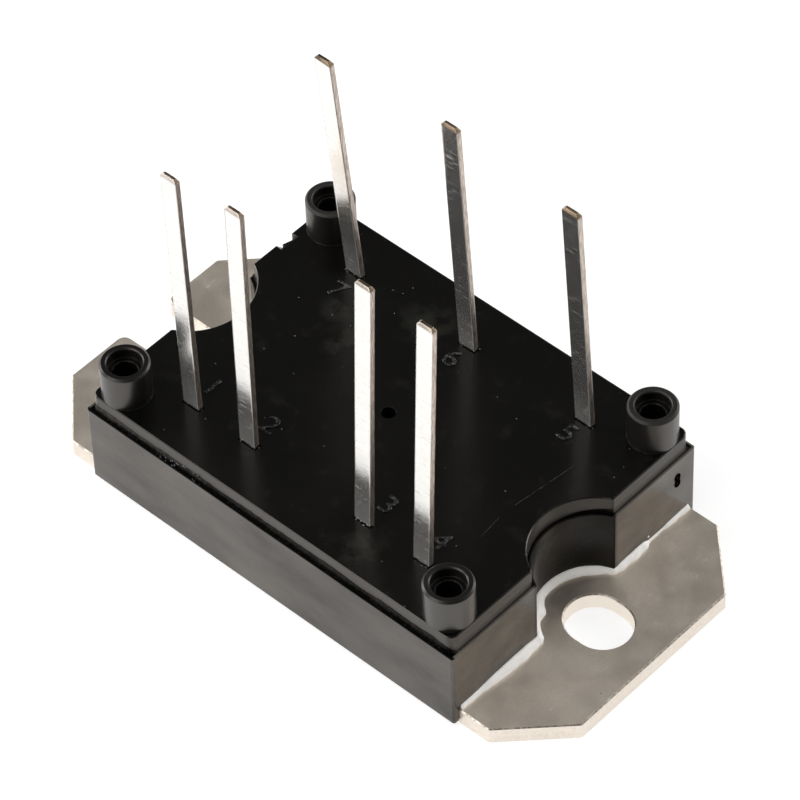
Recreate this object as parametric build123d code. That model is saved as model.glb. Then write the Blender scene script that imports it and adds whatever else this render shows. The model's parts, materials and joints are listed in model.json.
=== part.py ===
from build123d import *
from math import radians, sqrt, tan
import os

# Three-phase bridge rectifier module, in millimetres. The origin is the centre of the base plate's
# underside. X runs along the module, Y across it and Z up, towards the tips of the pins.

# Diode dies, their solder and the copper clips on them
die_size = 4.6
die_thickness = 0.3
die_solder = 0.1
die_side_margin = 0.2
die_end_margin = 0.3
clip_width = 2.2
clip_thickness = 0.3
clip_rise = 1.3
clip_foot = 1.6
clip_arch_span = 2.2
clip_die_margin = 1.1

# Copper tracks and the ceramic substrate
track_gap = 0.6
track_thickness = 0.3
plus_leg_width = 3.9
copper_margin = 0.7
bottom_copper_thickness = 0.3
ceramic_thickness = 0.38
base_solder_thickness = 0.15

# Pins
pin_pitch = 7.0
pin_width = 1.85
pin_thickness = 0.55
pin_reach = 28.8
pin_tip_cut = 0.3
pin_tip_thinning = 0.13
pin_foot_reach = 1.6
pin_foot_clearance = 1.3
pin_foot_margin = 0.3
pin_end_margin = 1.575
pin_back_margin = 1.225
pin_solder_thickness = 0.1
pin_slot_clearance = 0.12

# Housing frame
frame_side_gap = 1.3
frame_end_gap = 0.4
side_wall = 2.0
notch_wall = 1.3
notch_radius = 5.65
end_setback = 2.25
end_wall = 1.6
wall_height = 7.55
wall_corner_round = 0.25
cavity_corner_round = 2.0
skirt_wall = 0.64
skirt_clearance = 0.06
skirt_drop = 1.4
rim_lip = 0.22
rim_gap = 0.14

# Lid and its screw posts
lid_rise = 2.0
lid_thickness = 2.6
lid_corner_round = 0.9
lid_notch_round = 0.3
lid_edge_break = 0.1
lid_bond = 0.1
lid_bond_drop = 0.2
lid_hole_diameter = 1.4
post_diameter = 4.72
post_height = 3.95
post_edge_break = 0.2
counterbore_diameter = 3.3
counterbore_depth = 1.15
pilot_diameter = 2.3
pilot_floor = 1.55
mouth_edge_break = 0.12
gate_offset = 9.55
gate_width = 2.2
gate_depth = 1.0
gate_reach = 0.8
gate_stub_width = 1.3
gate_stub_low = 0.02
gate_stub_high = 0.45

# Base plate and its two screw slots
plate_thickness = 1.8
plate_end_margin = 6.5
plate_corner_cut = 5.8
plate_corner_round = 0.5
plate_edge_break = 0.12
slot_width = 5.7
slot_length = 6.6
slot_mouth_round = 0.9

# Fillings
gel_cover = 1.4
bead_width = 0.35
bead_height = 0.4
bead_taper = 30
bead_edge_gap = 0.3

# Each pin's number, column (in pitches), row (front -1, back 1) and lean in X and Y (degrees)
pin_places = [
    (1, -2, -1, -1.29, 0.35),
    (2, -1, -1, -1.28, 1.73),
    (3, 1, -1, -0.71, 3.57),
    (4, 2, -1, -0.51, 3.47),
    (5, 2, 1, 0.34, -3.83),
    (6, 0, 1, -0.99, -2.03),
    (7, -2, 1, -0.93, -4.30),
]

# Each phase's number and its place along the module, in steps from the middle
phase_places = [(1, -1), (2, 0), (3, 1)]

# How close two lengths are when they count as the same
match = 0.001

# Plan of the tracks: the plus bus runs along the middle, the phase pads lie behind it, the minus
# band in front of it, and the pads of the front pins along the front edge
bus_half = die_size / 2 + die_side_margin
copper_half_x = 2 * pin_pitch + pin_width / 2 + pin_end_margin
phase_front = bus_half + track_gap
clip_toe = die_size / 2 - clip_die_margin
short_clip_run = clip_toe + clip_arch_span + clip_foot
low_die_y = phase_front + die_side_margin + die_size / 2
pin_row = low_die_y + die_size / 2 + pin_foot_clearance + pin_foot_reach
copper_half_y = pin_row + pin_thickness / 2 + pin_back_margin
front_pad_edge = pin_row - pin_foot_reach - pin_foot_margin
minus_front = front_pad_edge - track_gap
phase_width = (2 * copper_half_x - 2 * track_gap) / 3
phase_step = phase_width + track_gap
die_offset = phase_width / 2 - die_end_margin - die_size / 2

# Plan of the shell, worked out from the substrate outwards
ceramic_half_x = copper_half_x + copper_margin
ceramic_half_y = copper_half_y + copper_margin
notch_x = ceramic_half_x + frame_end_gap + notch_wall + notch_radius
housing_length = 2 * (notch_x - end_setback)
cavity_half_y = ceramic_half_y + frame_side_gap
housing_width = 2 * (cavity_half_y + side_wall)
plate_width = housing_width - 2 * (skirt_wall + skirt_clearance)
screw_pitch = 2 * notch_x + slot_length - slot_width
plate_length = screw_pitch + 2 * plate_end_margin
rim_inset = rim_lip + rim_gap
lid_half_x = housing_length / 2 - rim_inset
lid_half_y = housing_width / 2 - rim_inset
post_x = lid_half_x - post_diameter / 2
post_y = lid_half_y - post_diameter / 2

# Heights
plate_top = plate_thickness
copper_bottom = plate_top + base_solder_thickness
ceramic_bottom = copper_bottom + bottom_copper_thickness
track_bottom = ceramic_bottom + ceramic_thickness
track_top = track_bottom + track_thickness
die_bottom = track_top + die_solder
die_top = die_bottom + die_thickness
clip_crest = die_top + clip_rise + clip_thickness
gel_top = clip_crest + gel_cover
pin_foot_bottom = track_top + pin_solder_thickness
rim_top = plate_top + wall_height
lid_top = rim_top + lid_rise
lid_bottom = lid_top - lid_thickness
seat_top = lid_bottom - lid_bond
post_top = lid_top + post_height
tip_top = lid_top + pin_reach


def slab(sketch, bottom, top):
    """A flat plan extruded between two heights."""
    return extrude(Pos(0, 0, bottom) * sketch, top - bottom)


def block(x_range, y_range, z_range):
    """A box between named limits."""
    size = [high - low for low, high in (x_range, y_range, z_range)]
    centre = [(high + low) / 2 for low, high in (x_range, y_range, z_range)]
    return Pos(*centre) * Box(*size)


def notched_outline(half_x, half_y, radius, corner_round=0, notch_round=0):
    """A rectangle with a round screw notch in each end, its corners and notch lips rounded or sharp."""
    sketch = Rectangle(2 * half_x, 2 * half_y)
    for side in (1, -1):
        sketch -= Pos(side * notch_x, 0) * Circle(radius)
    lip_y = sqrt(radius ** 2 - (notch_x - half_x) ** 2)
    if corner_round:
        corners = [v for v in sketch.vertices() if abs(abs(v.Y) - half_y) < match]
        sketch = fillet(corners, corner_round)
    if notch_round:
        lips = [v for v in sketch.vertices() if abs(abs(v.Y) - lip_y) < match]
        sketch = fillet(lips, notch_round)
    return sketch


def housing_outline(inset, corner_round=0, notch_round=0):
    """The housing's outline, moved in by an inset all round."""
    half_x = housing_length / 2 - inset
    half_y = housing_width / 2 - inset
    return notched_outline(half_x, half_y, notch_radius + inset, corner_round, notch_round)


def cavity_outline(corner_round=0):
    """The space inside the walls, which bulge in round the notches."""
    half_x = housing_length / 2 - end_wall
    return notched_outline(half_x, cavity_half_y, notch_radius + notch_wall, corner_round)


def make_base_plate():
    """Plate with cut corners, a closed oval slot at the near end and an open U-slot at the far end."""
    outline = Rectangle(plate_length, plate_width)
    outline = chamfer(outline.vertices(), plate_corner_cut)
    outline = fillet(outline.vertices(), plate_corner_round)
    outline -= Pos(screw_pitch / 2, 0) * SlotOverall(slot_length, slot_width)
    mouth_length = plate_length / 2 - notch_x
    outline -= Pos(-notch_x, 0) * Circle(slot_width / 2)
    outline -= Pos(-notch_x - mouth_length / 2, 0) * Rectangle(mouth_length, slot_width)
    far_end = [v for v in outline.vertices() if abs(v.X + plate_length / 2) < match]
    mouth = [v for v in far_end if abs(abs(v.Y) - slot_width / 2) < match]
    outline = fillet(mouth, slot_mouth_round)
    plate = slab(outline, 0, plate_top)
    return chamfer(plate.faces().sort_by(Axis.Z)[-1].edges(), plate_edge_break)


def make_substrate():
    """Solder, bottom copper and ceramic, each a rectangle stacked on the plate."""
    copper = Rectangle(2 * copper_half_x, 2 * copper_half_y)
    ceramic = Rectangle(2 * ceramic_half_x, 2 * ceramic_half_y)
    return {
        "base_solder": slab(copper, plate_top, copper_bottom),
        "substrate_bottom_copper": slab(copper, copper_bottom, ceramic_bottom),
        "substrate_ceramic": slab(ceramic, ceramic_bottom, track_bottom),
    }


def make_tracks():
    """The plus, minus and phase pads on top of the ceramic."""
    left = -copper_half_x
    right = copper_half_x
    front = -copper_half_y
    minus_left = left + plus_leg_width + track_gap
    heights = (track_bottom, track_top)
    bus = block((left, right), (-bus_half, bus_half), heights)
    leg = block((left, left + plus_leg_width), (front, -bus_half), heights)
    plus_pad = block((left, -track_gap / 2), (front, -front_pad_edge), heights)
    band = block((minus_left, right), (-minus_front, -phase_front), heights)
    minus_pad = block((track_gap / 2, right), (front, -minus_front), heights)
    pads = {
        "pad_plus": bus + leg + plus_pad,
        "pad_minus": band + minus_pad,
    }
    for number, place in phase_places:
        x = place * phase_step
        pads[f"pad_phase_{number}"] = block(
            (x - phase_width / 2, x + phase_width / 2), (phase_front, copper_half_y), heights)
    return pads


def make_die(side, number, x, y):
    """One diode die on its layer of solder."""
    plan = Pos(x, y) * Rectangle(die_size, die_size)
    return {
        f"chip_solder_{side}_{number}": slab(plan, track_top, die_bottom),
        f"diode_chip_{side}_{number}": slab(plan, die_bottom, die_top),
    }


def make_clip(x, die_y, landing_y):
    """A copper strip from the top of a die, in an arch over the gap and down on a track."""
    way = 1 if landing_y > die_y else -1
    run = abs(landing_y - die_y)
    heel = run - clip_foot
    crest = ((clip_toe + heel) / 2, die_top + clip_rise)
    underside = Line((-clip_toe, die_top), (clip_toe, die_top))
    underside += ThreePointArc((clip_toe, die_top), crest, (heel, track_top))
    underside += Line((heel, track_top), (run, track_top))
    profile = make_face(offset(underside, clip_thickness, side=Side.LEFT).edges())
    upright = Plane(origin=(x, die_y, 0), x_dir=(0, way, 0), z_dir=(way, 0, 0))
    return extrude(upright * profile, clip_width / 2, both=True)


def make_phase(number, place):
    """The two dies of one phase, and the clips that join them to the phase pad and the minus band."""
    centre = place * phase_step
    high_x = centre - die_offset
    low_x = centre + die_offset
    parts = make_die("high", number, high_x, 0)
    parts.update(make_die("low", number, low_x, low_die_y))
    parts[f"clip_high_{number}"] = make_clip(high_x, 0, short_clip_run)
    parts[f"clip_low_{number}"] = make_clip(low_x, low_die_y, -short_clip_run)
    return parts


def make_pin(number, column, row, tilt_x, tilt_y):
    """A flat pin on a foot that points to the middle, leaning a little above the lid."""
    x = column * pin_pitch
    y = row * pin_row
    outer = y + row * pin_thickness / 2
    toe = y - row * pin_foot_reach
    across = (x - pin_width / 2, x + pin_width / 2)
    foot_range = (min(outer, toe), max(outer, toe))
    foot = block(across, foot_range, (pin_foot_bottom, pin_foot_bottom + pin_thickness))
    thick = (y - pin_thickness / 2, y + pin_thickness / 2)
    upright = block(across, thick, (pin_foot_bottom, lid_top))
    slope_x = tan(radians(tilt_x))
    slope_y = tan(radians(tilt_y))
    neck_reach = pin_reach - pin_tip_cut
    stem = Pos(x, y, lid_top) * Rectangle(pin_width, pin_thickness)
    neck_place = Pos(x + neck_reach * slope_x, y + neck_reach * slope_y, lid_top + neck_reach)
    neck = neck_place * Rectangle(pin_width, pin_thickness)
    tip_place = Pos(x + pin_reach * slope_x, y + pin_reach * slope_y, tip_top)
    tip_thickness = pin_thickness - 2 * pin_tip_thinning
    tip = tip_place * Rectangle(pin_width - 2 * pin_tip_cut, tip_thickness)
    solder = block(across, foot_range, (track_top, pin_foot_bottom))
    return {
        f"pin_{number}": foot + upright + loft([stem, neck], ruled=True) + loft([neck, tip], ruled=True),
        f"pin_solder_{number}": solder,
    }


def make_frame():
    """Walls with a seat for the lid inside a thin lip, and a skirt over the plate's long edges."""
    outline = housing_outline(0, wall_corner_round, wall_corner_round)
    frame = slab(outline, plate_top, rim_top)
    frame -= slab(housing_outline(rim_lip), seat_top, rim_top)
    frame -= slab(cavity_outline(cavity_corner_round), plate_top, rim_top)
    plate_side = plate_width / 2 + skirt_clearance
    for way in (1, -1):
        strip = Pos(0, way * (plate_side + skirt_wall / 2)) * Rectangle(housing_length, skirt_wall)
        outer = [v for v in strip.vertices() if abs(v.Y) > plate_side + skirt_wall / 2]
        strip = fillet(outer, wall_corner_round)
        frame += slab(strip, plate_top - skirt_drop, plate_top)
    return frame


def make_gate_mark():
    """The recess in the lid's far edge where the moulding gate broke off, with its stub left standing."""
    low = gate_offset - gate_width / 2
    high = gate_offset + gate_width / 2
    stub_start = high - gate_stub_width
    floor = lid_top - gate_depth
    profile = Polyline(
        (-lid_half_x, low, lid_top),
        (-lid_half_x, stub_start, floor),
        (-lid_half_x, stub_start, floor + gate_stub_high),
        (-lid_half_x, high, floor + gate_stub_low),
        (-lid_half_x, high, lid_top),
        close=True,
    )
    return extrude(make_face(profile), amount=gate_reach, dir=(1, 0, 0))


def make_post():
    """A screw post turned from its profile: counterbore, ledge, pilot hole and broken edges."""
    outer = post_diameter / 2
    mouth = counterbore_diameter / 2
    pilot = pilot_diameter / 2
    ledge = post_top - counterbore_depth
    profile = Polyline(
        (pilot, 0, lid_top),
        (outer, 0, lid_top),
        (outer, 0, post_top - post_edge_break),
        (outer - post_edge_break, 0, post_top),
        (mouth + mouth_edge_break, 0, post_top),
        (mouth, 0, post_top - mouth_edge_break),
        (mouth, 0, ledge),
        (pilot, 0, ledge),
        close=True,
    )
    return revolve(make_face(profile), Axis.Z)


def make_lid():
    """Cover plate with four screw posts on its corners, slots for the pins and a vent hole."""
    outline = housing_outline(rim_inset, lid_corner_round, lid_notch_round)
    lid = slab(outline, lid_bottom, lid_top)
    lid = chamfer(lid.faces().sort_by(Axis.Z)[-1].edges(), lid_edge_break)
    slot = Rectangle(pin_width + 2 * pin_slot_clearance, pin_thickness + 2 * pin_slot_clearance)
    for _, column, row, *_ in pin_places:
        lid -= slab(Pos(column * pin_pitch, row * pin_row) * slot, lid_bottom, lid_top)
    lid -= slab(Circle(lid_hole_diameter / 2), lid_bottom, lid_top)
    post = make_post()
    pilot = slab(Circle(pilot_diameter / 2), lid_bottom + pilot_floor, lid_top)
    for x in (-post_x, post_x):
        for y in (-post_y, post_y):
            lid += Pos(x, y) * post
            lid -= Pos(x, y) * pilot
    return lid - make_gate_mark()


def make_gel(inner_parts):
    """Soft filling of the cavity, with a space for each piece that it covers."""
    gel = slab(cavity_outline(cavity_corner_round), plate_top, gel_top)
    for part in inner_parts:
        gel -= part
    return gel


def make_beads():
    """Sealant along the foot of each end wall and round its notch."""
    wide = housing_outline(-bead_width, wall_corner_round + bead_width, wall_corner_round)
    rope = extrude(Pos(0, 0, plate_top) * wide, bead_height, taper=bead_taper)
    rope -= slab(housing_outline(0, wall_corner_round, wall_corner_round), plate_top, rim_top)
    half_width = plate_width / 2 - bead_edge_gap
    reach = housing_length / 2 + 2 * bead_width
    inner = notch_x - notch_radius - 2 * bead_width
    heights = (plate_top, plate_top + bead_height)
    across = (-half_width, half_width)
    return {
        "sealant_bead_near": rope & block((inner, reach), across, heights),
        "sealant_bead_far": rope & block((-reach, -inner), across, heights),
    }


def make_lid_adhesive(lid):
    """Glue on the lid's seat and in the gap between the lid and the lip."""
    ring = slab(housing_outline(rim_lip), seat_top, rim_top - lid_bond_drop)
    ring -= slab(cavity_outline(), seat_top, rim_top)
    return ring - lid


def make_module():
    """All pieces of the module by name."""
    inner = make_substrate()
    inner.update(make_tracks())
    for phase in phase_places:
        inner.update(make_phase(*phase))
    for pin in pin_places:
        inner.update(make_pin(*pin))
    module = dict(inner)
    module["base_plate"] = make_base_plate()
    module["housing_frame"] = make_frame()
    module["lid"] = make_lid()
    module["lid_adhesive"] = make_lid_adhesive(module["lid"])
    module["silicone_gel"] = make_gel(inner.values())
    module.update(make_beads())
    return module


os.makedirs("parts", exist_ok=True)
for name, part in make_module().items():
    export_step(part, f"parts/{name}.step")
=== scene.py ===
import json
import math
import random

import bmesh
import bpy
from mathutils import Matrix, Vector, noise


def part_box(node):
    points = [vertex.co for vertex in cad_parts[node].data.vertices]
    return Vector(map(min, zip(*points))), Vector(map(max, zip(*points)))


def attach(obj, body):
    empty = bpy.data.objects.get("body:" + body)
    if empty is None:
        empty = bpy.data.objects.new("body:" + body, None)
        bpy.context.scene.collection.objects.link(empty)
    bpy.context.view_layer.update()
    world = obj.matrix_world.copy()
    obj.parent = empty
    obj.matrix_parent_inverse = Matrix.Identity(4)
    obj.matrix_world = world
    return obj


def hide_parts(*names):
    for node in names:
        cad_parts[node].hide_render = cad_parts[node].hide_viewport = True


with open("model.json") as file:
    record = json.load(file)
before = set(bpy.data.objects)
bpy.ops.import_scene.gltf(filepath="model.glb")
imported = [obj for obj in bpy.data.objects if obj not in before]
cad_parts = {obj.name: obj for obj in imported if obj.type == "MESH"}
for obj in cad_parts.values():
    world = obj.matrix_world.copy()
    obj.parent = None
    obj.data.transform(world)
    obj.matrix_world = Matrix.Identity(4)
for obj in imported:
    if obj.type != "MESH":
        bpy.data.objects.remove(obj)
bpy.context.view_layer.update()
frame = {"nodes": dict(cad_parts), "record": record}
nodes = frame["nodes"]

# Lengths below are metres, written as millimetres times MM
MM = 0.001

# Camera, solved from the photo's corners
camera_azimuth = 44.14
camera_elevation = 48.06
camera_roll = 2.38
camera_distance = 453.98 * MM
camera_lens = 223.24
camera_target = Vector((-3.60, 5.25, 6.0)) * MM

# Floor, sky and soft boxes
floor_radius = 3.0
floor_colour = (0.40, 0.40, 0.40)
floor_glow = 0.74
sky_low = 0.81
sky_high = 0.0
sky_low_until = 0.10
sky_high_from = 0.30
box_distance = 0.9
box_size = 0.55

# Soft boxes: name, azimuth from the camera's, elevation, watts
soft_boxes = [
    ("right_high", 90, 52, 1.4),
    ("right_low", 120, 22, 3.8),
    ("back_high", 180, 52, 0.25),
    ("left_low_back", -120, 22, 5.5),
    ("left_high", -90, 52, 1.05),
    ("left_low_front", -60, 22, 3.3),
    ("left_high_front", -45, 52, 1.35),
    ("top", 0, 85, 0.85),
]

# The frame's round screw notches and thin rim, which the record's boxes don't give
notch_x = 24.55 * MM
notch_radius = 5.65 * MM
rim_lip = 0.22 * MM
rim_gap = 0.14 * MM
lid_corner = 0.9 * MM

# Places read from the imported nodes
plate_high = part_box("base_plate")[1]
frame_low, frame_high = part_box("housing_frame")
lid_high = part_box("lid")[1]
plate_top = plate_high.z
rim_top = frame_high.z
tip_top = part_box("pin_1")[1].z

# The posts and pins, whose sizes the record's boxes don't give
post_height = 3.95 * MM
post_radius = 2.36 * MM
post_x = lid_high.x - post_radius
post_y = lid_high.y - post_radius
lid_top = lid_high.z - post_height
pin_width = 1.85 * MM
pin_thickness = 0.55 * MM
pin_pitch = 7.0 * MM
pin_row = 10.8 * MM

# How far two masks reach: just short of the counterbores' walls, and just past the centre hole's wall
counterbore_reach = 1.62 * MM
vent_reach = 0.75 * MM

# Each pin's number, column (in pitches) and row (front -1, back 1)
pin_places = {1: (-2, -1), 2: (-1, -1), 3: (1, -1), 4: (2, -1), 5: (2, 1), 6: (0, 1), 7: (-2, 1)}

# Where the painted shade near the screw notches, the darkening of the plate's ends and the painted light at
# the foot of the lid's end sides fade in, from the first distance to the second, from the module's middle
# along its length
notch_painted_shade_range = (23.0 * MM, 20.8 * MM)
plate_end_darkening_range = (25.0 * MM, 29.0 * MM)
lid_end_range = (15.0 * MM, 15.5 * MM)

# The same for the painted light on the walls of the plate's screw slots, as distances from the middle of a
# notch
slot_wall_painted_light_range = (4.4 * MM, 4.0 * MM)

# The middle of the wet part of the front glue
wet_x = -10.5 * MM

# Lighter round patches on the lid (x, y, radius) and scratches (start, end, width), in millimetres
lid_lighter_patches = [(-12.0, 7.2, 2.6), (-4.5, 10.5, 3.5), (-9.0, 3.5, 2.5), (8.7, -13.5, 3.2)]
lid_scratches = [
    ((16.74, 6.26), (15.82, -0.75), 0.07), ((16.0, -5.4), (15.7, -2.6), 0.05),
]


# Node helpers

def add(tree, kind, inputs=None, **settings):
    """A node with its settings, and its inputs set to a value or joined to a socket."""
    made = tree.nodes.new(kind)
    for name, value in settings.items():
        setattr(made, name, value)
    for name, value in (inputs or {}).items():
        if isinstance(value, bpy.types.NodeSocket):
            tree.links.new(value, made.inputs[name])
        else:
            made.inputs[name].default_value = value
    return made


def mixed(tree, share, first, second):
    """A colour between two others."""
    made = add(tree, "ShaderNodeMix", data_type="RGBA")
    for index, value in ((0, share), (6, first), (7, second)):
        if isinstance(value, bpy.types.NodeSocket):
            tree.links.new(value, made.inputs[index])
        elif index == 0:
            made.inputs[index].default_value = value
        else:
            made.inputs[index].default_value = (*value, 1.0)
    return made.outputs[2]


def grey(level):
    """A colour without a tint."""
    return (level, level, level)


def math_node(tree, operation, *values):
    """The result of a Math node."""
    made = add(tree, "ShaderNodeMath", dict(enumerate(values)), operation=operation)
    return made.outputs[0]


def vector_node(tree, operation, *values):
    """The outputs of a Vector Math node."""
    return add(tree, "ShaderNodeVectorMath", dict(enumerate(values)), operation=operation).outputs


def xyz(tree, vector):
    """The X, Y and Z of a vector."""
    return add(tree, "ShaderNodeSeparateXYZ", {"Vector": vector}).outputs


def product(tree, *values):
    """Several values multiplied."""
    result = values[0]
    for value in values[1:]:
        result = math_node(tree, "MULTIPLY", result, value)
    return result


def total(tree, *values):
    """Several values added."""
    result = values[0]
    for value in values[1:]:
        result = math_node(tree, "ADD", result, value)
    return result


def spread(tree, value, low, high, to_low, to_high):
    """A value moved from one range to another, and held inside it."""
    inputs = {"Value": value, "From Min": low, "From Max": high, "To Min": to_low, "To Max": to_high}
    return add(tree, "ShaderNodeMapRange", inputs).outputs["Result"]


def ramp(tree, value, low, high):
    """0 to 1 while a value goes from one limit to the other, which may be the smaller one."""
    return spread(tree, value, low, high, 0.0, 1.0)


def flipped(tree, mask):
    """1 where a mask is 0, and 0 where it is 1."""
    return spread(tree, mask, 0.0, 1.0, 1.0, 0.0)


def grain(tree, place, size, detail=3.0, stretch=(1.0, 1.0, 1.0), turn=(0.0, 0.0, 0.0)):
    """Noise whose features are about the given size, which may be stretched and turned."""
    inputs = {"Vector": place, "Scale": stretch, "Rotation": turn}
    scaled = add(tree, "ShaderNodeMapping", inputs).outputs[0]
    inputs = {"Vector": scaled, "Scale": 1 / size, "Detail": detail}
    return add(tree, "ShaderNodeTexNoise", inputs).outputs["Fac"]


def specks(tree, place, spacing, radius, share):
    """A mask of scattered dots: one cell in a few has a dot of the given radius."""
    cells = add(tree, "ShaderNodeTexVoronoi", {"Vector": place, "Scale": 1 / spacing})
    near = math_node(tree, "LESS_THAN", cells.outputs["Distance"], radius / spacing)
    parts = add(tree, "ShaderNodeSeparateColor", {"Color": cells.outputs["Color"]})
    chosen = math_node(tree, "LESS_THAN", parts.outputs[0], share)
    return math_node(tree, "MULTIPLY", near, chosen)


def start_material(name, **constants):
    """A material, its tree, its main shader and the place on the object."""
    material = bpy.data.materials.new(name)
    material.use_nodes = True
    tree = material.node_tree
    shader = tree.nodes["Principled BSDF"]
    for socket, value in constants.items():
        shader.inputs[socket.replace("_", " ")].default_value = value
    place = add(tree, "ShaderNodeTexCoord").outputs["Object"]
    return material, tree, shader, place


def join(tree, shader, **sockets):
    """Joins sockets to the main shader's inputs."""
    for name, socket in sockets.items():
        tree.links.new(socket, shader.inputs[name.replace("_", " ")])


def soft_normal(tree, radius):
    """The surface's normal, with its edges softened over a radius."""
    return add(tree, "ShaderNodeBevel", {"Radius": radius}, samples=8).outputs[0]


def relief(tree, height, depth, soft_edge=0.0):
    """A normal with bumps of the given depth, and edges softened over a radius."""
    inputs = {"Height": height, "Distance": depth}
    if soft_edge:
        inputs["Normal"] = soft_normal(tree, soft_edge)
    return add(tree, "ShaderNodeBump", inputs).outputs[0]


def facing(tree, axis):
    """How squarely the true surface faces along an axis, from 0 to 1."""
    turned = add(tree, "ShaderNodeNewGeometry").outputs["True Normal"]
    return math_node(tree, "ABSOLUTE", xyz(tree, turned)[axis])


# Masks on the module

def patch_mask(tree, place, x, y, radius):
    """1 in the middle of a round patch on the lid, fading to 0 at its radius; all in millimetres."""
    offset = vector_node(tree, "ADD", place, (-x * MM, -y * MM, -lid_top))["Vector"]
    reach = vector_node(tree, "LENGTH", offset)["Value"]
    return spread(tree, reach, 0.3 * radius * MM, radius * MM, 1.0, 0.0)


def scratch_mask(tree, place, start, end, width):
    """1 along a thin straight scratch on the lid between two places, in millimetres."""
    origin = Vector((*start, lid_top / MM)) * MM
    along = Vector((*end, lid_top / MM)) * MM - origin
    offset = vector_node(tree, "SUBTRACT", place, origin)["Vector"]
    reach = vector_node(tree, "DOT_PRODUCT", offset, along)["Value"]
    share = ramp(tree, reach, 0.0, along.length_squared)
    inputs = {0: along, "Scale": share}
    nearest = add(tree, "ShaderNodeVectorMath", inputs, operation="SCALE").outputs["Vector"]
    gap = vector_node(tree, "DISTANCE", offset, nearest)["Value"]
    return math_node(tree, "LESS_THAN", gap, width / 2 * MM)


def axis_reach(tree, place, x, y):
    """The distance from an upright line."""
    flat = vector_node(tree, "MULTIPLY", place, (1.0, 1.0, 0.0))["Vector"]
    return vector_node(tree, "DISTANCE", flat, (x, y, 0.0))["Value"]


def post_share(tree, place):
    """1 inside the counterbores of the four posts, short of their walls, and 0 elsewhere."""
    folded = vector_node(tree, "ABSOLUTE", place)["Vector"]
    return math_node(tree, "LESS_THAN", axis_reach(tree, folded, post_x, post_y), counterbore_reach)


def notch_ramp(tree, place, near, far):
    """0 to 1 between two distances from the middle of the nearer screw notch."""
    folded = vector_node(tree, "ABSOLUTE", place)["Vector"]
    return ramp(tree, axis_reach(tree, folded, notch_x, 0.0), near, far)


def wall_ramp(tree, place, near, far):
    """0 to 1 between two distances from the module's middle, along its length."""
    return ramp(tree, math_node(tree, "ABSOLUTE", xyz(tree, place)[0]), near, far)


def beyond_notch(tree, place, near, far):
    """0 to 1 between two distances from the screw notches' walls."""
    return notch_ramp(tree, place, notch_radius + near, notch_radius + far)


# Materials

def plate_edge_painted_reflection(tree, cut):
    """A ragged line of painted dark reflection along the plate's upper edges."""
    rise = xyz(tree, soft_normal(tree, 0.08 * MM))[2]
    line = product(tree, ramp(tree, rise, 0.30, 0.62), spread(tree, rise, 0.80, 0.95, 1.0, 0.0))
    return product(tree, line, spread(tree, cut, 0.38, 0.60, 0.10, 0.85))


def make_nickel():
    """Satin nickel plating with faint blotches, bright specks, fine scratches and a few dark nicks, painted
    shade near the end walls, painted light on the sides and slot walls, and a painted dark reflection along
    the upper edges.
    """
    material, tree, shader, place = start_material("nickel_plate")
    bright = (0.90, 0.85, 0.77)
    fine = grain(tree, place, 0.25 * MM)
    blotch = grain(tree, place, 3.0 * MM)
    cut = grain(tree, place, 0.35 * MM, 4.0)
    top = ramp(tree, facing(tree, 2), 0.3, 0.7)
    dots = specks(tree, place, 1.1 * MM, 0.06 * MM, 0.25)
    nicks = specks(tree, place, 1.9 * MM, 0.08 * MM, 0.08)
    hairs = grain(tree, place, 0.10 * MM, 2.0, (1.0, 0.07, 1.0), (0.0, 0.0, math.radians(28)))
    hairs = product(tree, spread(tree, hairs, 0.64, 0.70, 0.0, 0.8), ramp(tree, blotch, 0.46, 0.58))
    tone = total(tree, product(tree, fine, 0.4), product(tree, blotch, 0.6))
    colour = mixed(tree, ramp(tree, tone, 0.30, 0.70), (0.70, 0.62, 0.525), (0.82, 0.74, 0.64))
    colour = mixed(tree, dots, colour, bright)
    colour = mixed(tree, hairs, colour, bright)
    colour = mixed(tree, nicks, colour, (0.42, 0.37, 0.32))
    # Painted shade darkens the plate next to the end walls and in the screw notches; the plate's far ends
    # are also darkened a little
    notch_painted_shade = product(tree, wall_ramp(tree, place, *notch_painted_shade_range), 0.33)
    plate_end_darkening = product(tree, wall_ramp(tree, place, *plate_end_darkening_range), 0.07)
    colour = mixed(tree, total(tree, notch_painted_shade, plate_end_darkening), colour, grey(0.0))
    # Painted light: the sides are painted paler than the top, and the walls of the screw slots paler still
    side = mixed(tree, ramp(tree, cut, 0.35, 0.65), (0.79, 0.71, 0.62), (0.86, 0.79, 0.705))
    side = mixed(tree, notch_ramp(tree, place, *slot_wall_painted_light_range), side, (0.93, 0.86, 0.765))
    colour = mixed(tree, top, side, colour)
    # Painted reflection: a dark line along the upper edges
    colour = mixed(tree, plate_edge_painted_reflection(tree, cut), colour, (0.26, 0.22, 0.18))
    dull = product(tree, total(tree, product(tree, dots, 0.35), hairs), top)
    join(tree, shader, Base_Color=colour,
         Metallic=spread(tree, dull, 0.0, 1.0, 1.0, 0.3),
         Roughness=spread(tree, blotch, 0.35, 0.65, 0.42, 0.50),
         Normal=relief(tree, fine, 0.006 * MM, 0.05 * MM))
    return material


def frame_stain(tree, place, soft):
    """Dark glue smeared along the front rim, with a ragged lower edge."""
    _, y, z = xyz(tree, place)
    ragged = total(tree, z, product(tree, soft, 0.16 * MM))
    high = ramp(tree, ragged, rim_top - 0.10 * MM, rim_top - 0.05 * MM)
    return product(tree, high, ramp(tree, y, frame_low.y + 0.4 * MM, frame_low.y + 0.2 * MM))


def frame_lip_painted_light(tree, place):
    """The top of the frame's lip, painted paler as painted light, away from the screw notches."""
    high = ramp(tree, xyz(tree, place)[2], rim_top - 0.06 * MM, rim_top - 0.02 * MM)
    return product(tree, high, facing(tree, 2), beyond_notch(tree, place, 0.25 * MM, 0.45 * MM))


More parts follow.
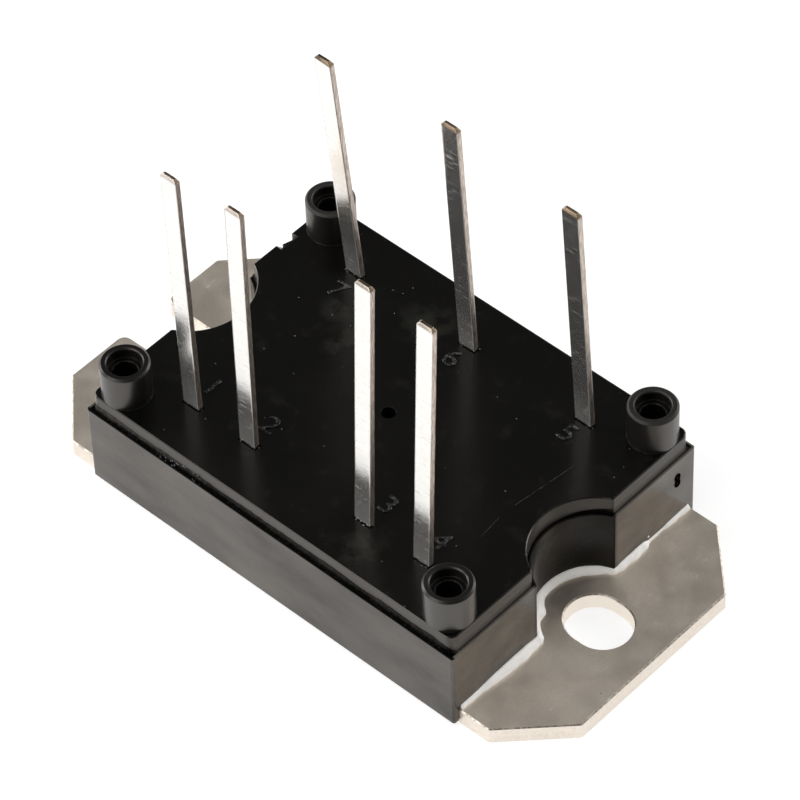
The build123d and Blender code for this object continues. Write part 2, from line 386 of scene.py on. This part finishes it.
def make_frame_plastic():
    """Smooth black moulding with soft unevenness, a paler painted lip top, and painted light and shade in
    its sheen.
    """
    material, tree, shader, place = start_material("black_frame", IOR=1.6, Specular_IOR_Level=0.65)
    shader.inputs["Specular Tint"].default_value = (1.0, 0.88, 0.77, 1.0)
    soft = grain(tree, place, 5 * MM)
    patch = grain(tree, place, 5 * MM, 2.0, (0.6, 1.0, 1.6), (0.0, math.radians(35), 0.0))
    fine = grain(tree, place, 0.3 * MM)
    stain = frame_stain(tree, place, soft)
    colour = mixed(tree, soft, (0.012, 0.011, 0.010), (0.020, 0.018, 0.016))
    # Painted light: the top of the lip is painted paler
    colour = mixed(tree, frame_lip_painted_light(tree, place), colour, (0.105, 0.096, 0.086))
    colour = mixed(tree, stain, colour, grey(0.002))
    # Painted shade and light in the sheen: it is lowered in the screw notches, and raised towards the -X end
    # and on the end faces
    clear_of_notch_shade = beyond_notch(tree, place, 0.1 * MM, 0.5 * MM)
    sheen = product(tree, spread(tree, patch, 0.3, 0.7, 0.38, 0.92),
                    spread(tree, clear_of_notch_shade, 0.0, 1.0, 0.12, 1.0))
    painted_light_slope = spread(tree, xyz(tree, place)[0], frame_low.x, frame_high.x, 1.08, 0.90)
    sheen = product(tree, sheen, total(tree, painted_light_slope, product(tree, facing(tree, 0), 0.22)))
    sheen = product(tree, sheen, spread(tree, stain, 0.0, 1.0, 1.0, 0.05))
    height = total(tree, product(tree, fine, 0.004), product(tree, soft, 0.05))
    join(tree, shader, Base_Color=colour, Specular_IOR_Level=sheen,
         Roughness=spread(tree, soft, 0.35, 0.65, 0.20, 0.32),
         Normal=relief(tree, height, MM, 0.12 * MM))
    return material


def make_digit_plastic():
    """The lid's plastic on the raised numbers: shinier, with paler specks painted on as highlights."""
    material, tree, shader, place = start_material("black_lid_numbers", IOR=1.5)
    fine = grain(tree, place, 0.14 * MM)
    # Painted highlights: paler specks on the numbers
    painted_glints = ramp(tree, grain(tree, place, 0.22 * MM, 4.0), 0.56, 0.66)
    join(tree, shader, Base_Color=mixed(tree, painted_glints, grey(0.004), (0.09, 0.088, 0.084)),
         Roughness=spread(tree, fine, 0.3, 0.7, 0.12, 0.30),
         Normal=relief(tree, fine, 0.02 * MM))
    return material


def lid_wear(tree, place, colour, soft, fine, smear, smears, top):
    """The lid's colour with the smears, lighter round patches, scratches and dust on its top."""
    dust = product(tree, specks(tree, place, 1.0 * MM, 0.055 * MM, 0.35), top,
                   spread(tree, soft, 0.3, 0.7, 0.3, 1.0))
    lighter_patches = total(tree, *[patch_mask(tree, place, *spot) for spot in lid_lighter_patches])
    lighter_patches = product(tree, lighter_patches, ramp(tree, smear, 0.42, 0.56), top)
    lines = total(tree, *[scratch_mask(tree, place, *line) for line in lid_scratches])
    lines = product(tree, lines, ramp(tree, fine, 0.45, 0.60), top)
    colour = mixed(tree, smears, colour, (0.006, 0.006, 0.0055))
    colour = mixed(tree, lighter_patches, colour, (0.014, 0.014, 0.0115))
    colour = mixed(tree, lines, colour, (0.07, 0.07, 0.065))
    return mixed(tree, dust, colour, (0.32, 0.31, 0.29))


def lid_side_painted_light(tree, height, top):
    """1 on the lid's upright faces below its broken top edge, where they are painted paler as painted light.
    """
    return product(tree, ramp(tree, height, lid_top - 0.04 * MM, lid_top - 0.12 * MM), flipped(tree, top))


def lid_foot_painted_light(tree, place, height, top):
    """1 at the foot of the lid's straight end sides, fading upwards, where they are painted paler as painted
    light.
    """
    return product(tree, ramp(tree, height, rim_top + 1.3 * MM, rim_top),
                   wall_ramp(tree, place, *lid_end_range),
                   spread(tree, facing(tree, 1), 0.6, 0.9, 1.0, 0.0), flipped(tree, top),
                   beyond_notch(tree, place, 0.45 * MM, 0.65 * MM))


def lid_vent_painted_shade(tree, place, height):
    """1 inside the lid's centre hole, which is painted dark and dull as painted shade."""
    inside = math_node(tree, "LESS_THAN", axis_reach(tree, place, 0.0, 0.0), vent_reach)
    return product(tree, inside, ramp(tree, height, lid_top - 0.02 * MM, lid_top - 0.08 * MM))


def post_rim_colour(tree, fine, back):
    """The colour of the posts' upper ends, painted lighter towards the back as painted light, with darker
    specks.
    """
    colour = mixed(tree, back, (0.008, 0.0077, 0.0074), (0.025, 0.024, 0.023))
    return mixed(tree, spread(tree, fine, 0.35, 0.65, 0.35, 0.0), colour, grey(0.004))


def make_lid_plastic():
    """Black moulding: wear and dust on top, upright faces painted paler as painted light, painted shade in
    the centre hole, painted light at the foot of the end sides, and dull upper ends on the posts, painted
    lighter towards the back.
    """
    material, tree, shader, place = start_material("black_lid", IOR=1.7)
    shader.inputs["Specular Tint"].default_value = (1.0, 0.93, 0.86, 1.0)
    _, across, height = xyz(tree, place)
    soft = grain(tree, place, 4 * MM)
    smear = grain(tree, place, 2.2 * MM, 5.0)
    fine = grain(tree, place, 0.14 * MM)
    top = ramp(tree, facing(tree, 2), 0.5, 0.9)
    smears = product(tree, ramp(tree, smear, 0.58, 0.72), top)
    side = lid_side_painted_light(tree, height, top)
    vent_painted_shade = lid_vent_painted_shade(tree, place, height)
    rim = ramp(tree, height, lid_high.z - 0.35 * MM, lid_high.z - 0.22 * MM)
    back = ramp(tree, across, -13 * MM, 13 * MM)
    dull_rim = product(tree, rim, spread(tree, back, 0.0, 1.0, 0.30, 0.70))
    colour = mixed(tree, soft, (0.0021, 0.0021, 0.0020), (0.0031, 0.0031, 0.0029))
    colour = lid_wear(tree, place, colour, soft, fine, smear, smears, top)
    # Painted light: the upright faces are painted paler than the top
    colour = mixed(tree, side, colour, (0.040, 0.036, 0.032))
    # Painted light: the posts' upper ends are lighter towards the back
    colour = mixed(tree, rim, colour, post_rim_colour(tree, fine, back))
    # Painted shade: the centre hole gets a dark colour and almost no sheen
    colour = mixed(tree, vent_painted_shade, colour, grey(0.003))
    # Painted light: the foot of the end sides is painted paler
    colour = mixed(tree, lid_foot_painted_light(tree, place, height, top), colour, (0.135, 0.124, 0.112))
    level = mixed(tree, side, grey(0.60), grey(0.28))
    level = mixed(tree, dull_rim, level, grey(0.22))
    level = mixed(tree, vent_painted_shade, mixed(tree, top, level, grey(0.10)), grey(0.02))
    rough = total(tree, spread(tree, soft, 0.3, 0.7, 0.18, 0.26), product(tree, smears, 0.10),
                  product(tree, dull_rim, 0.30), spread(tree, top, 0.0, 1.0, 0.12, 0.0))
    soft_edge = spread(tree, post_share(tree, place), 0.0, 1.0, 0.05 * MM, 0.22 * MM)
    join(tree, shader, Base_Color=colour, Specular_IOR_Level=level, Roughness=rough,
         Normal=relief(tree, fine, 0.003 * MM, soft_edge))
    return material


def pin_tip(tree, place, wear):
    """1 on the cut tips, reaching less far down on the front row."""
    _, row, height = xyz(tree, place)
    worn = total(tree, height, product(tree, wear, 0.3 * MM))
    near_top = product(tree, ramp(tree, worn, tip_top - 0.35 * MM, tip_top - 0.20 * MM),
                       spread(tree, row, -2 * MM, 2 * MM, 0.35, 1.0))
    return math_node(tree, "MAXIMUM", ramp(tree, facing(tree, 2), 0.25, 0.50), near_top)


def pin_edge_painted_highlight(tree):
    """1 along the upright edges between a pin's broad faces and its +X side, where a highlight is painted by
    lowering the metal share.
    """
    across = xyz(tree, soft_normal(tree, 0.20 * MM))[0]
    return product(tree, ramp(tree, across, 0.15, 0.45), spread(tree, across, 0.70, 0.92, 1.0, 0.0))


def make_tinned_copper():
    """Tin plating on the broad faces, rougher sheared sides and darker bare copper at the cut tips, with a
    painted highlight along the +X edges and painted light towards the foot.
    """
    material, tree, shader, place = start_material("tinned_copper")
    peel = grain(tree, place, 0.16 * MM, 4.0)
    wear = grain(tree, place, 1.4 * MM, 4.0)
    streaks = grain(tree, place, 0.12 * MM, 3.0, (1.0, 1.0, 0.12))
    rubbed = grain(tree, place, 0.12 * MM, 2.0, (0.06, 1.0, 1.0), (0.0, math.radians(35), 0.0))
    scratch = ramp(tree, rubbed, 0.66, 0.70)
    marks = total(tree, scratch, product(tree, specks(tree, place, 0.45 * MM, 0.045 * MM, 0.30), 0.8))
    side = ramp(tree, facing(tree, 0), 0.55, 0.85)
    tip = pin_tip(tree, place, wear)
    tin = mixed(tree, ramp(tree, wear, 0.35, 0.65), (0.94, 0.92, 0.88), (0.98, 0.96, 0.93))
    tin = mixed(tree, spread(tree, peel, 0.35, 0.65, 0.15, 0.0), tin, (0.55, 0.52, 0.47))
    sheared = mixed(tree, ramp(tree, streaks, 0.4, 0.6), (0.40, 0.33, 0.28), (0.68, 0.59, 0.51))
    copper = mixed(tree, ramp(tree, wear, 0.4, 0.6), (0.14, 0.11, 0.075), (0.30, 0.22, 0.15))
    colour = mixed(tree, tip, mixed(tree, side, tin, sheared), copper)
    rough = total(tree, spread(tree, peel, 0.3, 0.7, 0.13, 0.20), product(tree, side, 0.22),
                  product(tree, tip, 0.1))
    bumps = total(tree, product(tree, peel, 0.004), product(tree, wear, 0.012),
                  product(tree, scratch, -0.003))
    # Painted light: a lower metal share towards the foot and along the +X edges lets the tin's pale colour
    # show as painted light and a painted highlight
    metal = product(tree, spread(tree, xyz(tree, place)[2], lid_top, lid_top + 5 * MM, 0.87, 0.955),
                    spread(tree, pin_edge_painted_highlight(tree), 0.0, 1.0, 1.0, 0.50),
                    spread(tree, marks, 0.0, 1.0, 1.0, 0.75))
    join(tree, shader, Base_Color=colour, Roughness=rough, Metallic=metal,
         Normal=relief(tree, bumps, MM, 0.20 * MM))
    return material


def make_sealant():
    """Soft white silicone, a little uneven, with a faint painted glow that brightens it as painted light."""
    # The emission is painted light, not a lamp
    material, tree, shader, place = start_material("white_sealant", Roughness=0.40, Emission_Strength=0.14)
    shader.inputs["Emission Color"].default_value = (1.0, 0.955, 0.90, 1.0)
    lumps = grain(tree, place, 0.35 * MM, 4.0)
    dirt = grain(tree, place, 2.5 * MM, 2.0)
    colour = mixed(tree, ramp(tree, dirt, 0.3, 0.7), (0.94, 0.925, 0.89), (0.98, 0.97, 0.94))
    join(tree, shader, Base_Color=colour, Normal=relief(tree, lumps, 0.03 * MM))
    return material


def glue_wet(tree, place, front):
    """Wet specks near one place on the front, and on the collars of the pins."""
    x, _, z = xyz(tree, place)
    dots = specks(tree, place, 0.26 * MM, 0.085 * MM, 0.60)
    off = math_node(tree, "ABSOLUTE", math_node(tree, "SUBTRACT", x, wet_x))
    on_front = product(tree, spread(tree, off, 1.5 * MM, 3.0 * MM, 1.0, 0.04), front)
    return product(tree, dots, total(tree, on_front, ramp(tree, z, lid_top - 0.1 * MM, lid_top)))


def make_glue():
    """Black glue, lumpy and dull with a few wet specks, lighter where it is thin, and painted paler as
    painted light in the gap away from the front.
    """
    material, tree, shader, place = start_material("black_adhesive", IOR=1.5)
    x, y, z = xyz(tree, place)
    lumps = grain(tree, place, 0.3 * MM)
    front = spread(tree, y, frame_low.y + 0.5 * MM, frame_low.y + 1.0 * MM, 1.0, 0.0)
    wet = glue_wet(tree, place, front)
    below_top = spread(tree, z, lid_top - 0.6 * MM, lid_top - 0.4 * MM, 1.0, 0.0)
    # Painted light: the glue in the gap away from the front is painted paler
    gap_painted_light = product(tree, flipped(tree, front), below_top,
                   ramp(tree, z, rim_top - 0.6 * MM, rim_top - 0.4 * MM),
                   beyond_notch(tree, place, 0.45 * MM, 0.55 * MM))
    ragged = total(tree, z, product(tree, lumps, 0.2 * MM))
    thin = product(tree, ramp(tree, ragged, rim_top + 0.48 * MM, rim_top + 0.90 * MM),
                   spread(tree, x, -16 * MM, -6 * MM, 1.0, 0.45), below_top,
                   spread(tree, lumps, 0.35, 0.60, 0.6, 1.0))
    colour = mixed(tree, lumps, (0.0015, 0.0015, 0.0014), (0.0035, 0.0034, 0.0031))
    colour = mixed(tree, thin, colour, (0.065, 0.060, 0.054))
    colour = mixed(tree, gap_painted_light, colour, (0.035, 0.032, 0.029))
    join(tree, shader, Base_Color=colour, Specular_IOR_Level=wet,
         Roughness=spread(tree, wet, 0.0, 1.0, 0.35, 0.12),
         Normal=relief(tree, lumps, 0.04 * MM))
    return material


def make_simple(name, dark, light, size, roughness, metallic=0.0):
    """A plain material for a hidden inner piece: two tones mixed by noise, with a fine relief."""
    material, tree, shader, place = start_material(name, Metallic=metallic)
    mix = grain(tree, place, size)
    join(tree, shader, Base_Color=mixed(tree, mix, dark, light),
         Roughness=spread(tree, mix, 0.3, 0.7, roughness * 0.85, roughness * 1.15),
         Normal=relief(tree, mix, size * 0.03))
    return material


materials = {
    "nickel_plate": make_nickel(),
    "black_frame": make_frame_plastic(),
    "black_lid": make_lid_plastic(),
    "black_adhesive": make_glue(),
    "tinned_copper": make_tinned_copper(),
    "white_sealant": make_sealant(),
    "clear_gel": make_simple("clear_gel", (0.66, 0.70, 0.69), (0.76, 0.79, 0.78), 2 * MM, 0.25),
    "solder": make_simple("solder", (0.50, 0.50, 0.51), (0.66, 0.66, 0.67), 0.4 * MM, 0.35, 1.0),
    "bare_copper": make_simple("bare_copper", (0.64, 0.36, 0.25), (0.78, 0.48, 0.36), 0.8 * MM, 0.3, 1.0),
    "alumina": make_simple("alumina", (0.84, 0.83, 0.80), (0.91, 0.90, 0.88), 0.5 * MM, 0.6),
    "silicon": make_simple("silicon", (0.10, 0.10, 0.12), (0.15, 0.15, 0.17), 1.5 * MM, 0.15),
}
digit_plastic = make_digit_plastic()
slot_of = {part["node"]: part["material_slot"] for part in frame["record"]["subparts"]}
for name, node in nodes.items():
    node.data.materials.clear()
    node.data.materials.append(materials[slot_of[name]])


# Mesh helpers

def add_object(name, data):
    """An object made from its data, in the scene."""
    made = bpy.data.objects.new(name, data)
    bpy.context.scene.collection.objects.link(made)
    return made


def finish_mesh(name, body):
    """A mesh with the faces of a bmesh, which is freed."""
    mesh = bpy.data.meshes.new(name)
    body.to_mesh(mesh)
    body.free()
    return mesh


def make_piece(name, mesh, slot, material=None, smooth=True):
    """An object from a mesh, in its material, riding with the module."""
    if smooth:
        mesh.shade_smooth()
    piece = add_object(name, mesh)
    mesh.materials.append(material or materials[slot])
    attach(piece, "root")
    return piece


def sweep(name, stations, profile, closed=False, add_more=None):
    """A mesh of cross-sections: each station has an origin, a side, and a scale along and above it."""
    body = bmesh.new()
    rows = []
    for origin, side, width, height in stations:
        row = [body.verts.new(origin + side * (u * width) + Vector((0, 0, v * height))) for u, v in profile]
        rows.append(row)
    count = len(profile)
    for first, second in zip(rows, rows[1:] + rows[:1] if closed else rows[1:]):
        for i in range(count):
            j = (i + 1) % count
            body.faces.new((first[i], first[j], second[j], second[i]))
    if not closed:
        body.faces.new(rows[0][::-1])
        body.faces.new(rows[-1])
    if add_more:
        add_more(body)
    bmesh.ops.recalc_face_normals(body, faces=body.faces)
    return finish_mesh(name, body)


def between(pairs, where):
    """The value at a place, read from (place, value) pairs with straight lines between them."""
    for (low, first), (high, second) in zip(pairs, pairs[1:]):
        if where <= high:
            share = (where - low) / (high - low)
            return first + (second - first) * max(0.0, share)
    return pairs[-1][1]


def uneven(sizes, wave, ripple):
    """A size read from its mean and its shares of a slow wave and a fast ripple."""
    mean, slow, fast = sizes
    return mean + slow * wave + fast * ripple


def straight(start, end, outward, step):
    """Points from one place to another, each with the same outward direction."""
    count = max(1, round((end - start).length / step))
    return [(start.lerp(end, i / count), outward) for i in range(count + 1)]


def arc(centre, radius, start, end, step, way=1):
    """Points round an arc between two angles, with outward directions away from its centre or towards it."""
    count = max(2, round(abs(end - start) * radius / step))
    angles = [start + (end - start) * i / count for i in range(count + 1)]
    spokes = [Vector((math.cos(a), math.sin(a), 0)) for a in angles]
    return [(centre + spoke * radius, spoke * way) for spoke in spokes]


def notch_angle(inset):
    """Half the angle that a screw notch's arc spans, on an outline moved in by an inset."""
    radius = notch_radius + inset
    return math.acos((notch_x - frame_high.x + inset) / radius)


def end_wall(way, height, inset, half_y, step):
    """The foot or rim of an end wall, from front to back: way is 1 at the near end, -1 at the far end."""
    radius = notch_radius + inset
    turn = notch_angle(inset)
    edge = way * (frame_high.x - inset)
    lip = radius * math.sin(turn)
    out = Vector((way, 0, 0))
    middle = 0 if way < 0 else math.pi
    centre = Vector((way * notch_x, 0, height))
    path = straight(Vector((edge, -half_y, height)), Vector((edge, -lip, height)), out, step)
    path += arc(centre, radius, middle + way * turn, middle - way * turn, step, -1)
    path += straight(Vector((edge, lip, height)), Vector((edge, half_y, height)), out, step)
    return path


# Sealant along the foot of each end wall, of uneven width as in the photo

bead_step = 0.2 * MM
bead_end_gap = 0.2 * MM
bead_wave = 0.9 * MM
bead_profile = [(0, 0), (1, 0), (0.99, 0.16), (0.9, 0.42), (0.7, 0.68), (0.42, 0.88), (0.15, 0.98), (0, 1)]
near_bead_width = [
    (-15.4, 0.26), (-13.0, 0.30), (-11.5, 0.48), (-9.5, 0.66), (-6.9, 0.68), (-5.6, 0.50), (-4.6, 0.60),
    (-3.6, 0.95), (-2.7, 1.05), (-2.0, 0.72), (-1.0, 0.52), (1.2, 0.50), (3.0, 0.55), (4.4, 0.50),
    (5.3, 0.30), (6.0, 0.42), (8.0, 0.50), (9.3, 0.42), (9.9, 0.12), (11.8, 0.10), (12.6, 0.24),
    (15.4, 0.30),
]
far_bead_width = [
    (-15.4, 0.25), (-8.0, 0.45), (-5.3, 0.30), (0.0, 0.45), (4.0, 0.60), (5.3, 0.35), (10.0, 0.5),
    (15.4, 0.3),
]

# A bead's least height, and the width up to which its height grows fast
bead_least = 0.12 * MM
bead_fast_until = 0.5 * MM

# The small drop of sealant above the near bead
drop_radius = 0.11 * MM
drop_y = 9.9 * MM
drop_height = 0.8 * MM


def make_bead(name, way, widths, node):
    """One bead of sealant, with its width read along the wall and a little random unevenness."""
    stations = []
    for point, side in end_wall(way, plate_top, 0, plate_high.y - bead_end_gap, bead_step):
        wave = noise.noise(Vector((point.y / bead_wave, way * 7.0, 0)))
        width = between(widths, point.y / MM) * MM * (1.1 + 0.2 * wave)
        rise = bead_least + 0.95 * min(width, bead_fast_until) + 0.45 * max(0.0, width - bead_fast_until)
        height = rise * (1.1 - 0.15 * wave)
        stations.append((point, side, width, height))
    piece = make_piece(name, sweep(name, stations, bead_profile), "white_sealant")
    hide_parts(node)


def make_drop():
    """A small drop of sealant left on the near end wall."""
    body = bmesh.new()
    place = Matrix.Translation((frame_high.x, drop_y, plate_top + drop_height))
    bmesh.ops.create_icosphere(body, subdivisions=2, radius=drop_radius, matrix=place)
    make_piece("sealant_drop", finish_mesh("sealant_drop", body), "white_sealant")


make_drop()
make_bead("sealant_near", 1, near_bead_width, "sealant_bead_near")
make_bead("sealant_far", -1, far_bead_width, "sealant_bead_far")


# Glue squeezed up out of the joint between the lid and the frame's rim

glue_step = 0.12 * MM
glue_profile = [(0, -1), (1, -1), (1, 0.05), (0.90, 0.22), (0.62, 0.45), (0.36, 0.80), (0.14, 0.98), (0, 1)]

# The share of the lip under glue, and the glue's height in front in millimetres: mean, wave, ripple
glue_cover = (0.85, 0.5, 0.3)
glue_height = (0.80, 0.12, 0.08)

# How often the glue has a bubble, along the front edge in millimetres, and what the bubbles are drawn from
bubble_seed = 7
bubble_share = [
    (-22.0, 0.02), (-16.5, 0.05), (-15.5, 0.6), (-14.0, 0.1), (-12.0, 0.7), (-9.0, 0.7), (-7.5, 0.06),
    (22.0, 0.02),
]


def rim_path():
    """The foot of the lid's side where it meets the rim, all the way round."""
    inset = rim_lip + rim_gap
    half_x = frame_high.x - inset
    half_y = frame_high.y - inset
    turn = lid_corner
    flat_x = half_x - turn
    flat_y = half_y - turn
    front = Vector((0, -1, 0))
    quarter = math.pi / 2

    def at(x, y):
        """A place at the height of the rim."""
        return Vector((x, y, rim_top))

    path = straight(at(-flat_x, -half_y), at(flat_x, -half_y), front, glue_step)
    path += arc(at(flat_x, -flat_y), turn, -quarter, 0, glue_step)
    path += end_wall(1, rim_top, inset, flat_y, glue_step)
    path += arc(at(flat_x, flat_y), turn, 0, quarter, glue_step)
    path += straight(at(flat_x, half_y), at(-flat_x, half_y), -front, glue_step)
    path += arc(at(-flat_x, flat_y), turn, quarter, 2 * quarter, glue_step)
    path += end_wall(-1, rim_top, inset, flat_y, glue_step)[::-1]
    path += arc(at(-flat_x, -flat_y), turn, 2 * quarter, 3 * quarter, glue_step)
    return path


def make_rim_glue():
    """A ragged strip, widest along the front, with small bubbles on it."""
    draw = random.Random(bubble_seed)
    stations = []
    bubbles = []
    for point, side in rim_path():
        front = max(0.0, -side.y) ** 2
        place = Vector((point.x, point.y, 0)) / MM
        wave = noise.noise(place * 0.35)
        ripple = noise.noise(place * 1.9 + Vector((0, 0, 5)))
        cover = min(1.0, max(0.25, uneven(glue_cover, wave, ripple)))
        width = rim_gap * 0.95 + front * (rim_lip * 0.95) * cover
        height = (0.03 + front * uneven(glue_height, wave, ripple)) * MM
        stations.append((point, side, width, height))
        if front > 0.5 and draw.random() < between(bubble_share, point.x / MM):
            spot = point + side * width * draw.uniform(0.1, 0.8)
            spot += Vector((0, 0, height * draw.uniform(0.2, 0.7)))
            bubbles.append((spot, draw.uniform(0.04, 0.10) * MM))

    def add_bubbles(body):
        """Small balls of glue on the strip."""
        for spot, radius in bubbles:
            place = Matrix.Translation(spot)
            bmesh.ops.create_icosphere(body, subdivisions=1, radius=radius, matrix=place)

    mesh = sweep("rim_glue", stations, glue_profile, True, add_bubbles)
    make_piece("rim_glue", mesh, "black_adhesive")


make_rim_glue()


# A ragged collar of glue where each pin comes through the lid

collar_step = 0.08 * MM
collar_profile = [(0, -0.6), (1, -0.6), (1, 0.1), (0.7, 0.4), (0.35, 0.75), (0, 1)]

# How wide and how high a collar is, in millimetres: mean, wave, ripple
collar_width = (0.17, 0.09, 0.06)
collar_height = (0.07, 0.07, 0.06)
collar_least = 0.01 * MM


def make_collar(number, column, row):
    """The glue round the foot of one pin, filling its slot in the lid."""
    centre = Vector((column * pin_pitch, row * pin_row, lid_top))
    half = Vector((pin_width / 2, pin_thickness / 2, 0))
    corners = [Vector((sx * half.x, sy * half.y, 0)) for sx, sy in ((-1, -1), (1, -1), (1, 1), (-1, 1))]
    path = []
    for i, corner in enumerate(corners):
        following = corners[(i + 1) % 4]
        along = (following - corner).normalized()
        out = Vector((along.y, -along.x, 0))
        path += [(p, out) for p, _ in straight(corner, following, out, collar_step)]
    stations = []
    for point, out in path:
        place = (centre + point) / MM
        wave = noise.noise(place * 2.3)
        ripple = noise.noise(place * 7.0)
        width = uneven(collar_width, wave, ripple) * MM
        height = uneven(collar_height, wave, ripple) * MM
        stations.append((centre + point, out, width, max(collar_least, height)))
    name = f"pin_glue_{number}"
    make_piece(name, sweep(name, stations, collar_profile, True), "black_adhesive")


for number, (column, row) in pin_places.items():
    make_collar(number, column, row)


# Raised pin numbers on the lid, upright seen from the four-pin side

digit_size = 2.85 * MM
digit_stretch = 1.18
digit_relief = 0.12 * MM
digit_edge = 0.05 * MM

# Wear on the numbers: its depth, its wave length, the longest edge left uncut, and the merging distance
wear_depth = 0.06 * MM
wear_wave = 0.3 * MM
wear_edge = 0.25 * MM
same_place = 0.001 * MM

# Noise vectors start from the clock where no seed is set, and would then differ in each run
wear_seed = 7

# Each number's middle, in millimetres
digit_places = {
    "1": (-14.09, -8.20), "2": (-6.95, -8.15), "3": (7.40, -8.18), "4": (13.70, -8.25),
    "5": (13.75, 8.62), "6": (-0.10, 8.56), "7": (-13.78, 8.04),
}


def draw_digit(text):
    """The mesh of one number, drawn at the origin."""
    letters = bpy.data.curves.new("digit_outline_" + text, "FONT")
    letters.body = text
    letters.size = digit_size
    letters.align_x = "CENTER"
    letters.align_y = "CENTER"
    letters.extrude = digit_relief / 2
    letters.bevel_depth = digit_edge
    letters.offset = -digit_edge
    letters.resolution_u = 6
    drawn = add_object("drawn", letters)
    bpy.context.view_layer.update()
    shaped = drawn.evaluated_get(bpy.context.evaluated_depsgraph_get())
    mesh = bpy.data.meshes.new_from_object(shaped)
    bpy.data.objects.remove(drawn)
    return mesh


def make_digit(text, x, y):
    """One raised number with worn, uneven edges, centred on its place."""
    mesh = draw_digit(text)
    place = Matrix.Translation((x * MM, y * MM, lid_top))
    mesh.transform(place @ Matrix.Diagonal((digit_stretch, 1, 1, 1)))
    body = bmesh.new()
    body.from_mesh(mesh)
    bmesh.ops.remove_doubles(body, verts=body.verts, dist=same_place)
    bmesh.ops.triangulate(body, faces=body.faces)
    long_edges = [edge for edge in body.edges if edge.calc_length() > wear_edge]
    bmesh.ops.subdivide_edges(body, edges=long_edges, cuts=2)
    for vert in body.verts:
        vert.co += noise.noise_vector(vert.co / wear_wave) * wear_depth
    body.to_mesh(mesh)
    body.free()
    make_piece("digit_" + text, mesh, "black_lid", digit_plastic, smooth=False)


noise.seed_set(wear_seed)
for text, (x, y) in digit_places.items():
    make_digit(text, x, y)


# Small moulding mark on the near end wall: two dark rings of painted shade round its shallow dips, one above
# the other

mark_heights = (7.22 * MM, 6.48 * MM)
mark_y = 13.87 * MM
ring_radius = 0.33 * MM
ring_squash = 0.72
ring_steps = 20
wire_radius = 0.19 * MM
wire_squash = 0.5
wire_steps = 6


def make_mark():
    """Two small dark rings, half sunk in the wall, as painted shade round the mark."""
    body = bmesh.new()
    for height in mark_heights:
        centre = Vector((frame_high.x, mark_y, height))
        rings = []
        for i in range(ring_steps):
            angle = 2 * math.pi * i / ring_steps
            spoke = Vector((0, ring_squash * math.cos(angle), math.sin(angle)))
            middle = centre + spoke * ring_radius
            ring = []
            for k in range(wire_steps):
                turn = 2 * math.pi * k / wire_steps
                outward = Vector((math.sin(turn), 0, 0)) * wire_squash
                offset = spoke.normalized() * math.cos(turn) + outward
                ring.append(body.verts.new(middle + offset * wire_radius))
            rings.append(ring)
        for first, second in zip(rings, rings[1:] + rings[:1]):
            for k in range(wire_steps):
                j = (k + 1) % wire_steps
                body.faces.new((first[k], first[j], second[j], second[k]))
    bmesh.ops.recalc_face_normals(body, faces=body.faces)
    mesh = finish_mesh("mould_mark_painted_shade", body)
    # Painted shade: the dark rings stand for the shade round the mark's dips
    make_piece("mould_mark_painted_shade", mesh, "black_frame", materials["black_adhesive"])


make_mark()


# Floor, sky, soft boxes and camera

def seen_rays(tree):
    """1 for rays that show a thing: from the camera, in a reflection or through glass."""
    path = add(tree, "ShaderNodeLightPath")
    either = math_node(tree, "MAXIMUM", path.outputs["Is Camera Ray"], path.outputs["Is Glossy Ray"])
    return math_node(tree, "MAXIMUM", either, path.outputs["Is Transmission Ray"])


def make_floor():
    """A wide pale floor that keeps the shadow and reads as white."""
    body = bmesh.new()
    bmesh.ops.create_circle(body, cap_ends=True, segments=64, radius=floor_radius)
    mesh = finish_mesh("floor", body)
    floor = add_object("floor", mesh)
    material, tree, shader, _ = start_material("floor", Roughness=1.0, Specular_IOR_Level=0.0)
    shader.inputs["Base Color"].default_value = (*floor_colour, 1.0)
    shader.inputs["Emission Color"].default_value = (1.0, 1.0, 1.0, 1.0)
    join(tree, shader, Emission_Strength=math_node(tree, "MULTIPLY", seen_rays(tree), floor_glow))
    mesh.materials.append(material)


def make_sky():
    """A sky that is pale at the horizon and black overhead, as in a studio."""
    world = bpy.data.worlds.new("sky")
    world.use_nodes = True
    tree = world.node_tree
    toward = add(tree, "ShaderNodeTexCoord").outputs["Generated"]
    level = spread(tree, xyz(tree, toward)[2], sky_low_until, sky_high_from, sky_low, sky_high)
    tree.links.new(level, tree.nodes["Background"].inputs["Strength"])
    tree.nodes["Background"].inputs["Color"].default_value = (1.0, 1.0, 1.0, 1.0)
    bpy.context.scene.world = world


def direction(azimuth, elevation):
    """The direction to a place seen at an azimuth and elevation, in degrees."""
    turn = math.radians(azimuth)
    rise = math.radians(elevation)
    return Vector((math.sin(turn) * math.cos(rise), -math.cos(turn) * math.cos(rise), math.sin(rise)))


def make_soft_box(name, azimuth, elevation, power):
    """A large square lamp aimed at the module."""
    lamp = bpy.data.lights.new(name, "AREA")
    lamp.size = box_size
    lamp.energy = power
    holder = add_object(name, lamp)
    way = direction(azimuth, elevation)
    holder.location = way * box_distance
    holder.rotation_euler = (-way).to_track_quat("-Z", "Y").to_euler()


def make_camera():
    """The photo's view."""
    back = direction(camera_azimuth, camera_elevation)
    right = Vector((0, 0, 1)).cross(back).normalized()
    up = back.cross(right)
    turn = Matrix.Rotation(math.radians(-camera_roll), 3, back)
    axes = Matrix((turn @ right, turn @ up, back)).transposed()
    data = bpy.data.cameras.new("camera")
    data.lens = camera_lens
    data.clip_end = 20.0
    camera = add_object("camera", data)
    camera.matrix_world = Matrix.Translation(camera_target + back * camera_distance) @ axes.to_4x4()
    bpy.context.scene.camera = camera


make_floor()
make_sky()
for name, turn, elevation, watts in soft_boxes:
    make_soft_box(name, camera_azimuth + turn, elevation, watts)
make_camera()
bpy.context.scene.view_settings.view_transform = "Standard"
